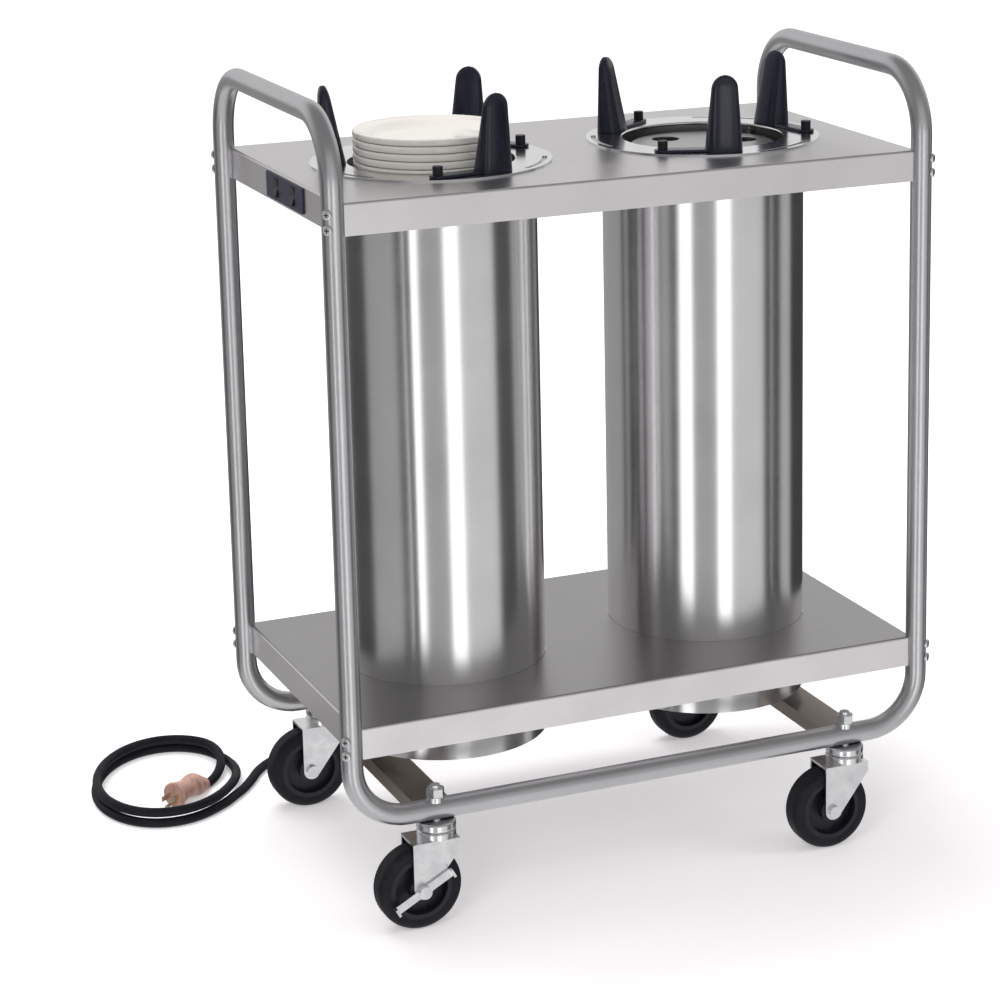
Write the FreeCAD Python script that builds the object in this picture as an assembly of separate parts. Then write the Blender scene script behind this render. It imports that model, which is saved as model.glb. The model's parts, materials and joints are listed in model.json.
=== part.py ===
import FreeCAD, Part
import os
from math import asin, atan2, cos, degrees, hypot, pi, radians, sin, sqrt, tan

# Heated plate dispenser for two stacks of plates, on an open tube cart.
# X runs along the cart, Y to its rear and Z up. The origin is on the floor,
# in the middle between the four legs. All lengths are in millimetres.

V = FreeCAD.Vector
UP = V(0, 0, 1)
ALONG = V(1, 0, 0)
REAR = V(0, 1, 0)
ORIGIN = V(0, 0, 0)
FULL_TURN = 360.0

# Frame of bent round tube
tube_d = 25.4
tube_wall = 1.6
end_room = 67.0
side_room = 80.0
lower_bend = 65.0
handle_bend = 75.0
handle_rise = 92.0
handle_stub = 9.0
weld_gap = 0.1

# Shelves, folded sheet with a lip turned down on all four sides
top_shelf_z = 858.0
bottom_shelf_rise = 100.1
shelf_end_inset = 6.0
shelf_face_outset = 3.0
shelf_lip = 37.0
shelf_sheet = 1.5
shelf_bend = 3.0

# Blocks in the shelf corners, and the screws through the legs into them
block_t = 10.0
block_w = 32.0
block_end_gap = 3.5
screw_d = 6.0
screw_head_d = 11.0
screw_head_h = 3.2
screw_drop = 10.0
screw_pitch = 17.0
screw_end_gap = 2.0
thread_fit = 0.05

# Cross channels between the bottom rails
channel_w = 44.0
channel_h = 17.0
channel_t = 2.0
channel_rise = 5.0

# Casters
caster_inset = 99.0
wheel_d = 101.6
wheel_w = 32.0
tyre_t = 13.0
tyre_round = 9.0
core_hub_d = 30.0
core_web_t = 10.0
core_rim_t = 6.0
hub_side_gap = 0.5
caster_trail = 25.0
race_d = 46.0
upper_race_h = 10.0
lower_race_h = 8.7
race_gap = 0.3
race_round = 2.5
stem_d = 12.0
stem_rise = 17.0
kingpin_head_d = 18.0
kingpin_head_h = 3.0
crown_gap = 0.1
swivel_fit = 0.06
fork_t = 3.0
fork_side_gap = 2.0
fork_front = 22.0
fork_toe_r = 11.0
fork_knee_drop = 12.0
axle_d = 8.0
axle_head_d = 15.0
axle_head_h = 5.0
axle_fit = 0.06
nut_af = 19.0
nut_h = 10.0
saddle_d = 21.0
saddle_h = 6.0

# Brake lever across the outer face of a wheel
brake_t = 3.0
brake_w = 10.0
brake_reach = 40.0
brake_gap = 0.4
brake_pad_w = 9.0
brake_tilt = 28.0

# Dispenser bodies: outer skin, insulation, liner, base pan and ring heater
dispenser_gap = 106.0
body_d = 246.0
body_wall = 1.2
body_lift = 14.3
body_hole_fit = 0.3
lining_space = 13.0
liner_wall = 1.0
liner_top_gap = 0.1
lining_gap = 0.4
pan_rise = 8.0
pan_t = 1.5
pan_rim = 7.0
pan_vent_d = 9.0
pan_vent_ring_d = 50.0
pan_vents = 8
heater_ring_d = 140.0
heater_rod_d = 8.0
heater_lift = 14.0
heater_foot_d = 6.0
heater_feet = 3

# Flange ring on the shelf round each opening
flange_margin = 19.0
flange_t = 2.0
flange_bead = 4.0
opening_inset = 10.0
slot_inset = 9.0
slot_w = 6.0
slot_start = 18.0
slot_sweep = 34.0
lug_d = 4.0
lug_h = 6.0

# Plate carrier and its three extension springs
carrier_side_gap = 13.0
carrier_t = 2.0
carrier_lip = 5.0
carrier_drop = 8.0
hole_rim_gap = 15.0
hole_column_gap = 18.0
column_d = 40.0
column_wall = 2.0
column_h = 200.0
spider_t = 5.0
spider_hub_d = 52.0
arm_w = 14.0
spring_side_gap = 1.0
spring_d = 9.0
spring_wire_d = 1.6
spring_angle = 30.0
carrier_count = 3

# Plates in the left dispenser
plate_side_gap = 9.0
plate_h = 22.0
plate_t = 4.0
plate_foot_d = 108.0
plate_foot_w = 4.0
plate_foot_h = 5.0
plate_rim_t = 7.0
plate_count = 9
stack_rise = 40.0

# Guide posts round each opening, and the clamp knobs they swing about
guide_count = 3
guide_h = 91.0
guide_base_w = 44.0
guide_top_w = 29.0
guide_base_t = 32.0
guide_top_t = 11.0
guide_lean = 8.0
guide_edge_share = 0.3
left_guide_angle = 47.0
right_guide_angle = 17.0
arm_t = 3.0
arm_pad_d = 20.0
arm_gap = 0.3
knob_outset = 12.0
knob_back = 76.0
knob_d = 12.0
knob_h = 10.0
knob_stud_d = 5.0
knob_fit = 0.08

# Control plate on the left end lip of the top shelf, with two rocker switches
control_w = 134.0
control_margin = 3.5
control_t = 2.0
control_y = -18.0
control_round = 3.0
switch_spacing = 60.0
rocker_w = 15.0
rocker_margin = 5.0
rocker_depth = 8.0
rocker_rise = 2.5
rocker_tilt = 7.0
rocker_gap = 0.7
rocker_pin_d = 3.0
housing_wall = 2.0
housing_depth = 22.0
housing_gap = 0.2

# Junction box under the bottom shelf, and the strain relief of the cord
box_x = -175.0
box_w = 80.0
box_front_gap = 17.0
box_rear_gap = 10.5
box_h = 74.0
box_wall = 2.0
cord_exit_rise = 13.0
relief_flange_d = 26.0
relief_flange_t = 3.0
relief_base_d = 20.0
relief_tip_d = 16.0
relief_l = 30.0
relief_fit = 0.1

# Cord, and its oval coil behind the left end: the second turn lies on the first
cord_d = 12.0
coil_x = -443.0
coil_y = 330.0
coil_half_w = 94.0
coil_half_l = 134.0
coil_w_step = 2.0
coil_l_step = 3.0
coil_turn = 18.0
coil_start = 35.0
coil_end = 668.0
coil_spans = 24
coil_climb_start = 330.0
coil_climb_end = 375.0
coil_layer_gap = 0.8
coil_stub = 24.0
coil_lead = 38.0
coil_share = 0.48
run_share = 0.45

# Plug on the end of the cord
plug_x = -399.6
plug_y = 303.5
plug_heading = 219.0
plug_d = 30.0
plug_boot_l = 26.0
plug_l = 38.0
plug_face_t = 4.0
plug_face_d = 34.0
blade_w = 6.4
blade_t = 1.6
blade_l = 17.0
blade_spacing = 12.7
earth_pin_d = 4.8
earth_pin_drop = 9.0

# Overrun of a cutting tool past the faces that it cuts
over = 5.0

tube_r = tube_d / 2
body_r = body_d / 2
dispenser_x = body_r + dispenser_gap / 2
leg_x = dispenser_x + body_r + end_room
leg_y = body_r + side_room
handle_z = top_shelf_z + handle_rise
shelf_x = leg_x - shelf_end_inset
shelf_y = leg_y + shelf_face_outset

caster_x = leg_x - caster_inset
caster_h = wheel_d + crown_gap + kingpin_head_h + fork_t + lower_race_h + upper_race_h + 2 * race_gap
axle_z = wheel_d / 2
rail_z = caster_h + tube_r
bottom_shelf_z = rail_z + tube_r + bottom_shelf_rise

body_bottom_z = rail_z + channel_rise + body_lift
pan_z = body_bottom_z + pan_rise
liner_d = body_d - 2 * lining_space
opening_d = liner_d - 2 * opening_inset
flange_d = body_d + 2 * flange_margin
slot_ring_d = flange_d - 2 * slot_inset
carrier_d = opening_d - 2 * carrier_side_gap
carrier_hole_d = (carrier_d - column_d) / 2 - hole_rim_gap - hole_column_gap
carrier_hole_ring_d = column_d + 2 * hole_column_gap + carrier_hole_d
plate_d = opening_d - 2 * plate_side_gap
spring_ring_d = liner_d - 2 * liner_wall - 2 * spring_side_gap - spring_d

flange_top_z = top_shelf_z + flange_t
arm_z = flange_top_z + arm_gap
guide_ring_d = opening_d + guide_base_t
knob_ring_d = guide_ring_d + 2 * knob_outset
knob_turn = degrees(2 * knob_back / knob_ring_d)

block_h = shelf_lip - shelf_sheet - block_end_gap
control_h = shelf_lip - 2 * control_margin
rocker_h = control_h - 2 * rocker_margin
box_front_y = body_r + box_front_gap
box_rear_y = shelf_y - shelf_sheet - box_rear_gap
cord_exit_z = bottom_shelf_z - shelf_sheet - box_h + cord_exit_rise

dispensers = {"left": -dispenser_x, "right": dispenser_x}
guide_angles = {"left": left_guide_angle, "right": right_guide_angle}
caster_places = {
    "front_left": (-1, -1),
    "front_right": (1, -1),
    "rear_left": (-1, 1),
    "rear_right": (1, 1),
}
braked = ("front_left", "rear_left")


def save(name, shapes):
    """One file for a node: a solid, or a group of separate solids."""
    shape = shapes
    if isinstance(shapes, list):
        shape = Part.makeCompound(shapes)
    shape.exportStep("parts/" + name + ".step")


def rod(diameter, length, base, axis=UP):
    return Part.makeCylinder(diameter / 2, length, base, axis)


def tube(outer_d, inner_d, length, base, axis=UP):
    outer = rod(outer_d, length, base, axis)
    bore = rod(inner_d, length + 2 * over, base - axis * over, axis)
    return outer.cut(bore)


def block(low, high):
    size = high - low
    return Part.makeBox(size.x, size.y, size.z, low)


def polar(radius, angle, centre=ORIGIN, z=0.0):
    turn = radians(angle)
    return V(centre.x + radius * cos(turn), centre.y + radius * sin(turn), z)


def outline(points):
    return Part.makePolygon(points + [points[0]])


def prism(points, depth):
    """A flat outline pushed along a vector."""
    return Part.Face(outline(points)).extrude(depth)


def ring_of(points, centre):
    """A half section in radius and height, turned about a vertical axis."""
    section = [V(centre.x + radius, centre.y, height) for radius, height in points]
    return Part.Face(outline(section)).revolve(centre, UP, FULL_TURN)


def turned(shape, centre, axis, angle):
    moved = shape.copy()
    moved.rotate(centre, axis, angle)
    return moved


def rounded_path(points, radii):
    """Straight runs through the points, with a tangent arc at each inner one."""
    edges = []
    start = points[0]
    for index, radius in enumerate(radii):
        corner = points[index + 1]
        back = (points[index] - corner).normalize()
        ahead = (points[index + 2] - corner).normalize()
        half = back.getAngle(ahead) / 2
        first = corner + back * (radius / tan(half))
        last = corner + ahead * (radius / tan(half))
        inward = (back + ahead).normalize()
        middle = corner + inward * (radius / sin(half) - radius)
        edges.append(Part.LineSegment(start, first).toShape())
        edges.append(Part.Arc(first, middle, last).toShape())
        start = last
    edges.append(Part.LineSegment(start, points[-1]).toShape())
    return edges


def swept(edges, diameter, start, tangent):
    ring = Part.Wire(Part.makeCircle(diameter / 2, start, tangent))
    return Part.Wire(edges).makePipeShell([ring], True, False)


def bent_tube(points, radius):
    """Hollow tube along a path in one plane, all its bends alike."""
    edges = rounded_path(points, [radius] * (len(points) - 2))
    tangent = (points[1] - points[0]).normalize()
    outer = swept(edges, tube_d, points[0], tangent)
    bore = swept(edges, tube_d - 2 * tube_wall, points[0], tangent)
    return outer.cut(bore)


# Frame

splice_z = handle_z - handle_bend - handle_stub


def leg_screw_axis(side_x, side_y):
    """Centre of a leg and the level direction from it into the shelf corner."""
    inward = V(-side_x, -side_y, 0).normalize()
    return V(side_x * leg_x, side_y * leg_y, 0), inward


def screw_heights():
    heights = []
    for shelf_z in (top_shelf_z, bottom_shelf_z):
        for row in range(2):
            heights.append(shelf_z - screw_drop - row * screw_pitch)
    return heights


def screw_holes(side_x, side_y):
    leg, inward = leg_screw_axis(side_x, side_y)
    length = tube_d + block_t + 2 * over
    holes = []
    for height in screw_heights():
        base = leg - inward * (tube_r + over) + UP * height
        holes.append(rod(screw_d + 2 * thread_fit, length, base, inward))
    return holes


def stem_holes(side_y):
    holes = []
    for side_x in (-1, 1):
        base = V(side_x * caster_x, side_y * leg_y, caster_h - over)
        holes.append(rod(stem_d + 2 * thread_fit, tube_d + 2 * over, base))
    return holes


def frame_tube(side_y):
    """Leg, bend, bottom rail, bend and leg of the front or the rear."""
    y = side_y * leg_y
    corners = [V(-leg_x, y, splice_z), V(-leg_x, y, rail_z), V(leg_x, y, rail_z), V(leg_x, y, splice_z)]
    frame = bent_tube(corners, lower_bend)
    for side_x in (-1, 1):
        for hole in screw_holes(side_x, side_y):
            frame = frame.cut(hole)
    for hole in stem_holes(side_y):
        frame = frame.cut(hole)
    return frame


def handle_tube(side_x):
    x = side_x * leg_x
    corners = [V(x, -leg_y, splice_z), V(x, -leg_y, handle_z), V(x, leg_y, handle_z), V(x, leg_y, splice_z)]
    handle = bent_tube(corners, handle_bend)
    for side_y in (-1, 1):
        for hole in screw_holes(side_x, side_y):
            handle = handle.cut(hole)
    return handle


def cross_channel(side_x):
    """Channel open below, coped round the front and the rear rail."""
    x = side_x * caster_x
    top = rail_z + channel_rise
    low = V(x - channel_w / 2, -leg_y, top - channel_h)
    high = V(x + channel_w / 2, leg_y, top)
    inner_low = V(low.x + channel_t, low.y - over, low.z - over)
    inner_high = V(high.x - channel_t, high.y + over, high.z - channel_t)
    channel = block(low, high).cut(block(inner_low, inner_high))
    for side_y in (-1, 1):
        rail_start = V(-leg_x, side_y * leg_y, rail_z)
        channel = channel.cut(rod(tube_d + 2 * weld_gap, 2 * leg_x, rail_start, ALONG))
    return channel


# Shelves

def top_edges(shape, top_z):
    slack = shelf_sheet / 2
    return [edge for edge in shape.Edges if edge.BoundBox.ZMin > top_z - slack]


def shelf_inside(top_z):
    """The hollow under a shelf, round where the sheet is folded."""
    inner_x = shelf_x - shelf_sheet
    inner_y = shelf_y - shelf_sheet
    inner_top = top_z - shelf_sheet
    low = V(-inner_x, -inner_y, top_z - shelf_lip - over)
    inside = block(low, V(inner_x, inner_y, inner_top))
    return inside.makeFillet(shelf_bend - shelf_sheet, top_edges(inside, inner_top))


def shelf(top_z):
    low = V(-shelf_x, -shelf_y, top_z - shelf_lip)
    outside = block(low, V(shelf_x, shelf_y, top_z))
    outside = outside.makeFillet(shelf_bend, top_edges(outside, top_z))
    tray = outside.cut(shelf_inside(top_z))
    for side_x, side_y in caster_places.values():
        base = V(side_x * leg_x, side_y * leg_y, top_z - shelf_lip - over)
        tray = tray.cut(rod(tube_d + 2 * weld_gap, shelf_lip + 2 * over, base))
        for hole in screw_holes(side_x, side_y):
            tray = tray.cut(hole)
    for x in dispensers.values():
        base = V(x, 0, top_z - shelf_lip)
        tray = tray.cut(rod(body_d + 2 * body_hole_fit, shelf_lip + over, base))
    return tray


def corner_block(side_x, side_y, top_z):
    """Thick block across a shelf corner, tapped for the two leg screws."""
    leg, inward = leg_screw_axis(side_x, side_y)
    near = tube_r + weld_gap
    top = top_z - shelf_sheet
    low = V(near, -block_w / 2, top - block_h)
    shape = block(low, V(near + block_t, block_w / 2, top))
    shape.rotate(ORIGIN, UP, degrees(atan2(inward.y, inward.x)))
    shape.translate(leg)
    shape = shape.common(shelf_inside(top_z))
    for hole in screw_holes(side_x, side_y):
        shape = shape.cut(hole)
    return shape


def leg_screw(side_x, side_y, height):
    leg, inward = leg_screw_axis(side_x, side_y)
    seat = leg - inward * tube_r + UP * height
    head = rod(screw_head_d, screw_head_h, seat - inward * screw_head_h, inward)
    rims = [edge for edge in head.Edges if edge.isClosed()]
    outer = [edge for edge in rims if (edge.CenterOfMass - seat).Length > screw_head_h / 2]
    head = head.makeFillet(screw_head_h / 2, outer)
    length = tube_d + weld_gap + block_t - screw_end_gap
    return head.fuse(rod(screw_d, length, seat, inward)).removeSplitter()


# Casters

race_top = caster_h
race_split = race_top - upper_race_h
lower_race_top = race_split - race_gap
fork_top = lower_race_top - lower_race_h
fork_inner = wheel_w / 2 + fork_side_gap
fork_outer = fork_inner + fork_t


def swivel_point(name):
    side_x, side_y = caster_places[name]
    return V(side_x * caster_x, side_y * leg_y, 0)


def rail_clearance(side_y):
    """Rod that cuts a shape to the round of the bottom rail."""
    return rod(tube_d, 2 * leg_x, V(-leg_x, side_y * leg_y, rail_z), ALONG)


def caster_stem(name):
    """Upper race, stem through the rail, and the kingpin with its head below."""
    at = swivel_point(name)
    race = rod(race_d, upper_race_h, at + UP * race_split)
    race = race.makeFillet(race_round, [race.Edges[0], race.Edges[2]])
    stem = rod(stem_d, tube_d + stem_rise, at + UP * race_top)
    pin_low = fork_top - fork_t - race_gap
    pin = rod(stem_d, race_split - pin_low, at + UP * pin_low)
    head = rod(kingpin_head_d, kingpin_head_h, at + UP * (pin_low - kingpin_head_h))
    return race.fuse(stem).fuse(pin).fuse(head).removeSplitter()


def caster_nut(name):
    """Hexagon nut above the rail, on a saddle that fits the round of the rail."""
    at = swivel_point(name)
    saddle_top = rail_z + tube_r + saddle_h / 2
    corner_r = nut_af / sqrt(3)
    corners = []
    for side in range(6):
        corners.append(polar(corner_r, side * FULL_TURN / 6, at, saddle_top))
    nut = prism(corners, UP * nut_h)
    saddle = rod(saddle_d, saddle_h, at + UP * (saddle_top - saddle_h))
    saddle = saddle.cut(rail_clearance(caster_places[name][1]))
    bore = rod(stem_d + 2 * thread_fit, nut_h + saddle_h + 2 * over, at + UP * (saddle_top - saddle_h - over))
    return nut.fuse(saddle).cut(bore)


def fork_cheek(y):
    """One side plate of the fork, at the swivel's own origin."""
    toe_x = -caster_trail
    toe = V(toe_x, y, axle_z)
    back = toe_x - fork_toe_r
    knee_z = fork_top - fork_knee_drop
    slope = V(fork_front - toe_x, 0, knee_z - axle_z)
    lean = atan2(slope.z, slope.x) - asin(fork_toe_r / hypot(slope.x, slope.z))
    touch = toe + V(sin(lean), 0, -cos(lean)) * fork_toe_r
    inward = (V(back, y, axle_z) + touch - toe * 2).normalize()
    edges = [
        Part.LineSegment(V(back, y, fork_top), V(back, y, axle_z)).toShape(),
        Part.Arc(V(back, y, axle_z), toe + inward * fork_toe_r, touch).toShape(),
        Part.LineSegment(touch, V(fork_front, y, knee_z)).toShape(),
        Part.LineSegment(V(fork_front, y, knee_z), V(fork_front, y, fork_top)).toShape(),
        Part.LineSegment(V(fork_front, y, fork_top), V(back, y, fork_top)).toShape(),
    ]
    return Part.Face(Part.Wire(edges)).extrude(REAR * fork_t)


def fork(name):
    """Lower race, crown and two cheeks, with bores for kingpin and axle."""
    back = -caster_trail - fork_toe_r
    crown = block(V(back, -fork_outer, fork_top - fork_t), V(fork_front, fork_outer, fork_top))
    race = rod(race_d, lower_race_h, V(0, 0, fork_top))
    race = race.makeFillet(race_round, [race.Edges[0]])
    shape = crown.fuse(race)
    for y in (-fork_outer, fork_inner):
        shape = shape.fuse(fork_cheek(y))
    shape = shape.removeSplitter()
    pin_d = stem_d + 2 * swivel_fit
    shape = shape.cut(rod(pin_d, lower_race_h + fork_t + 2 * over, V(0, 0, fork_top - fork_t - over)))
    bore_start = V(-caster_trail, -fork_outer - over, axle_z)
    shape = shape.cut(rod(axle_d + 2 * thread_fit, 2 * fork_outer + 2 * over, bore_start, REAR))
    shape.translate(swivel_point(name))
    return shape


def axle_centre(name):
    return swivel_point(name) + V(-caster_trail, 0, axle_z)


def axle_reach(name):
    """Distance from the wheel's middle to the outer head of its axle."""
    if name in braked:
        return fork_outer + brake_t + 2 * brake_gap
    return fork_outer


def axle(name):
    side_y = caster_places[name][1]
    outward = REAR * side_y
    centre = axle_centre(name)
    inner_end = centre - outward * fork_outer
    length = fork_outer + axle_reach(name)
    shaft = rod(axle_d, length, inner_end, outward)
    inner_head = rod(axle_head_d, axle_head_h, inner_end - outward * axle_head_h, outward)
    outer_head = rod(axle_head_d, axle_head_h, centre + outward * axle_reach(name), outward)
    return shaft.fuse(inner_head).fuse(outer_head).removeSplitter()


def wheel_ring(points, name):
    """A half section in radius and width, turned about the axle."""
    centre = axle_centre(name)
    section = [V(centre.x + radius, centre.y + side, centre.z) for radius, side in points]
    return Part.Face(outline(section)).revolve(centre, REAR, FULL_TURN)


def tyre(name):
    outer = wheel_d / 2
    inner = outer - tyre_t
    half = wheel_w / 2
    shape = wheel_ring([(inner, -half), (outer, -half), (outer, half), (inner, half)], name)
    rims = [edge for edge in shape.Edges if edge.Length > 2 * pi * (outer - tyre_t / 2)]
    rims = [edge for edge in rims if edge.isClosed()]
    return shape.makeFillet(tyre_round, rims)


def wheel_core(name):
    """Rim, web and hub of the wheel, with a running bore for the axle."""
    rim = wheel_d / 2 - tyre_t
    rim_in = rim - core_rim_t
    half = wheel_w / 2 - hub_side_gap
    hub = core_hub_d / 2
    hub_half = fork_inner - hub_side_gap
    web = core_web_t / 2
    bore = axle_d / 2 + axle_fit
    side = [(bore, hub_half), (hub, hub_half), (hub, web), (rim_in, web), (rim_in, half), (rim, half)]
    other = [(radius, -width) for radius, width in reversed(side)]
    return wheel_ring(side + other, name)


def brake_lever(name):
    """Flat lever turning on the axle, with a foot pad at each end."""
    side_y = caster_places[name][1]
    outward = REAR * side_y
    centre = axle_centre(name)
    start = centre + outward * (fork_outer + brake_gap)
    half = brake_w / 2
    low = V(centre.x - brake_reach, 0, centre.z - half)
    high = V(centre.x + brake_reach, brake_t, centre.z + half)
    arm = block(low, high)
    for end in (-1, 1):
        edge_x = centre.x + end * brake_reach
        inner_x = edge_x - end * brake_t
        pad_low = V(min(edge_x, inner_x), 0, centre.z - half)
        pad_high = V(max(edge_x, inner_x), brake_pad_w, centre.z + half)
        arm = arm.fuse(block(pad_low, pad_high))
    arm = arm.fuse(rod(axle_head_d, brake_t, V(centre.x, 0, centre.z), REAR)).removeSplitter()
    if side_y < 0:
        arm = arm.mirror(ORIGIN, REAR)
    arm.translate(V(0, start.y, 0))
    bore_start = centre + outward * fork_outer
    arm = arm.cut(rod(axle_d + 2 * axle_fit, brake_t + 2 * brake_gap + over, bore_start, outward))
    arm.rotate(centre, REAR, -brake_tilt)
    return arm


# Dispensers

def dispenser_body(x):
    height = top_shelf_z - body_bottom_z
    return tube(body_d, body_d - 2 * body_wall, height, V(x, 0, body_bottom_z))


def liner(x):
    bottom = pan_z + pan_t
    height = top_shelf_z - liner_top_gap - bottom
    return tube(liner_d, liner_d - 2 * liner_wall, height, V(x, 0, bottom))


def insulation(x):
    bottom = pan_z + pan_t + lining_gap
    height = top_shelf_z - lining_gap - bottom
    outer = body_d - 2 * body_wall - 2 * lining_gap
    return tube(outer, liner_d + 2 * lining_gap, height, V(x, 0, bottom))


def base_pan(x):
    """Round pan with its rim turned down inside the body, and vent holes."""
    centre = V(x, 0, 0)
    outer = body_r - body_wall - weld_gap
    top = pan_z + pan_t
    section = [(0, pan_z), (outer - pan_t, pan_z), (outer - pan_t, pan_z - pan_rim)]
    section += [(outer, pan_z - pan_rim), (outer, top), (0, top)]
    pan = ring_of(section, centre)
    for vent in range(pan_vents):
        angle = vent * FULL_TURN / pan_vents
        base = polar(pan_vent_ring_d / 2, angle, centre, pan_z - over)
        pan = pan.cut(rod(pan_vent_d, pan_t + 2 * over, base))
    return pan


def heater(x):
    """Ring heater rod on three feet that stand on the base pan."""
    floor = pan_z + pan_t
    centre = V(x, 0, floor + heater_lift)
    ring = Part.makeTorus(heater_ring_d / 2, heater_rod_d / 2, centre, UP)
    for foot in range(heater_feet):
        angle = foot * FULL_TURN / heater_feet
        base = polar(heater_ring_d / 2, angle, centre, floor)
        ring = ring.fuse(rod(heater_foot_d, heater_lift, base))
    return ring


def arc_slot(centre, start, z, height):
    """Curved slot with round ends, from a starting angle of the ring."""
    mid_r = slot_ring_d / 2
    half = slot_w / 2
    ring = tube(slot_ring_d + slot_w, slot_ring_d - slot_w, height, V(centre.x, centre.y, z))
    reach = 2 * slot_ring_d
    turn_a = polar(reach, start, centre, z)
    turn_b = polar(reach, start + slot_sweep, centre, z)
    wedge = prism([V(centre.x, centre.y, z), turn_a, turn_b], UP * height)
    slot = ring.common(wedge)
    for angle in (start, start + slot_sweep):
        slot = slot.fuse(rod(2 * half, height, polar(mid_r, angle, centre, z)))
    return slot


def spring_top(centre, index, z):
    return polar(spring_ring_d / 2, spring_angle + index * FULL_TURN / carrier_count, centre, z)


def flange_ring(side):
    """Ring round the opening, with a rolled rim, guide slots and spring lugs."""
    x = dispensers[side]
    centre = V(x, 0, 0)
    inner = opening_d / 2
    outer = flange_d / 2
    bead = flange_bead / 2
    section = [(inner, top_shelf_z), (outer, top_shelf_z), (outer, flange_top_z), (inner, flange_top_z)]
    ring = ring_of(section, centre)
    rolled = Part.makeTorus(inner, bead, V(x, 0, flange_top_z - bead), UP)
    ring = ring.fuse(rolled)
    for index in range(guide_count):
        guide = guide_angles[side] + index * FULL_TURN / guide_count
        ring = ring.cut(arc_slot(centre, guide + slot_start, top_shelf_z - over, flange_t + 2 * over))
    for index in range(carrier_count):
        lug = rod(lug_d, lug_h, spring_top(centre, index, top_shelf_z - lug_h))
        ring = ring.fuse(lug)
    return ring


carrier_top = {
    "left": top_shelf_z + stack_rise - plate_h - (plate_count - 1) * (plate_t + plate_foot_h),
    "right": top_shelf_z - carrier_drop,
}


def carrier(side):
    """Round plate rest with a lip below, on a column with a three-armed spider."""
    x = dispensers[side]
    centre = V(x, 0, 0)
    top = carrier_top[side]
    rim = carrier_d / 2
    section = [(0, top - carrier_t), (rim - carrier_t, top - carrier_t), (rim - carrier_t, top - carrier_lip)]
    section += [(rim, top - carrier_lip), (rim, top), (0, top)]
    shape = ring_of(section, centre)
    for index in range(carrier_count):
        hole = polar(carrier_hole_ring_d / 2, index * FULL_TURN / carrier_count, centre, top - carrier_t - over)
        shape = shape.cut(rod(carrier_hole_d, carrier_t + 2 * over, hole))
    foot = top - column_h
    column = tube(column_d, column_d - 2 * column_wall, column_h - carrier_t, V(x, 0, foot))
    shape = shape.fuse(column)
    shape = shape.fuse(rod(spider_hub_d, spider_t, V(x, 0, foot)))
    for index in range(carrier_count):
        reach = spring_ring_d / 2
        arm = block(V(x, -arm_w / 2, foot), V(x + reach, arm_w / 2, foot + spider_t))
        arm = arm.fuse(rod(arm_w / 2, spider_t, V(x + reach, 0, foot)))
        angle = spring_angle + index * FULL_TURN / carrier_count
        shape = shape.fuse(turned(arm, centre, UP, angle))
    return shape.removeSplitter()


def carrier_springs(side):
    """Close-wound extension springs between the flange lugs and the spider."""
    centre = V(dispensers[side], 0, 0)
    low = carrier_top[side] - column_h + spider_t + race_gap
    high = top_shelf_z - lug_h - race_gap
    springs = []
    for index in range(carrier_count):
        base = spring_top(centre, index, low)
        springs.append(tube(spring_d, spring_d - 2 * spring_wire_d, high - low, base))
    return springs


def plate(x, z):
    """One plate on its foot ring."""
    foot = plate_foot_d / 2
    rim = plate_d / 2
    under = z + plate_foot_h
    top = under + plate_t
    section = [(0, under), (foot - plate_foot_w, under), (foot - plate_foot_w, z), (foot, z), (foot, under)]
    section += [(rim, z + plate_h - plate_rim_t), (rim, z + plate_h), (foot + plate_t, top), (0, top)]
    return ring_of(section, V(x, 0, 0))


def plate_stack():
    pitch = plate_t + plate_foot_h
    low = carrier_top["left"]
    return [plate(dispensers["left"], low + pitch * index) for index in range(plate_count)]


# Guides

def rounded_rectangle(centre, half_t, half_w, corner):
    """Level outline, its long side along Y, with round corners."""
    flat_x = half_t - corner
    flat_y = half_w - corner
    diagonal = corner * cos(pi / 4)
    edges = []
    for sx, sy, first in ((1, 1, True), (-1, 1, False), (-1, -1, True), (1, -1, False)):
        side = centre + V(sx * half_t, sy * flat_y, 0)
        middle = centre + V(sx * (flat_x + diagonal), sy * (flat_y + diagonal), 0)
        end = centre + V(sx * flat_x, sy * half_w, 0)
        pair = (side, middle, end) if first else (end, middle, side)
        edges.append(pair)
    wire = []
    for index, corner_points in enumerate(edges):
        ahead = edges[(index + 1) % len(edges)]
        wire.append(Part.Arc(*corner_points).toShape())
        wire.append(Part.LineSegment(corner_points[2], ahead[0]).toShape())
    return Part.Wire(wire)


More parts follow.
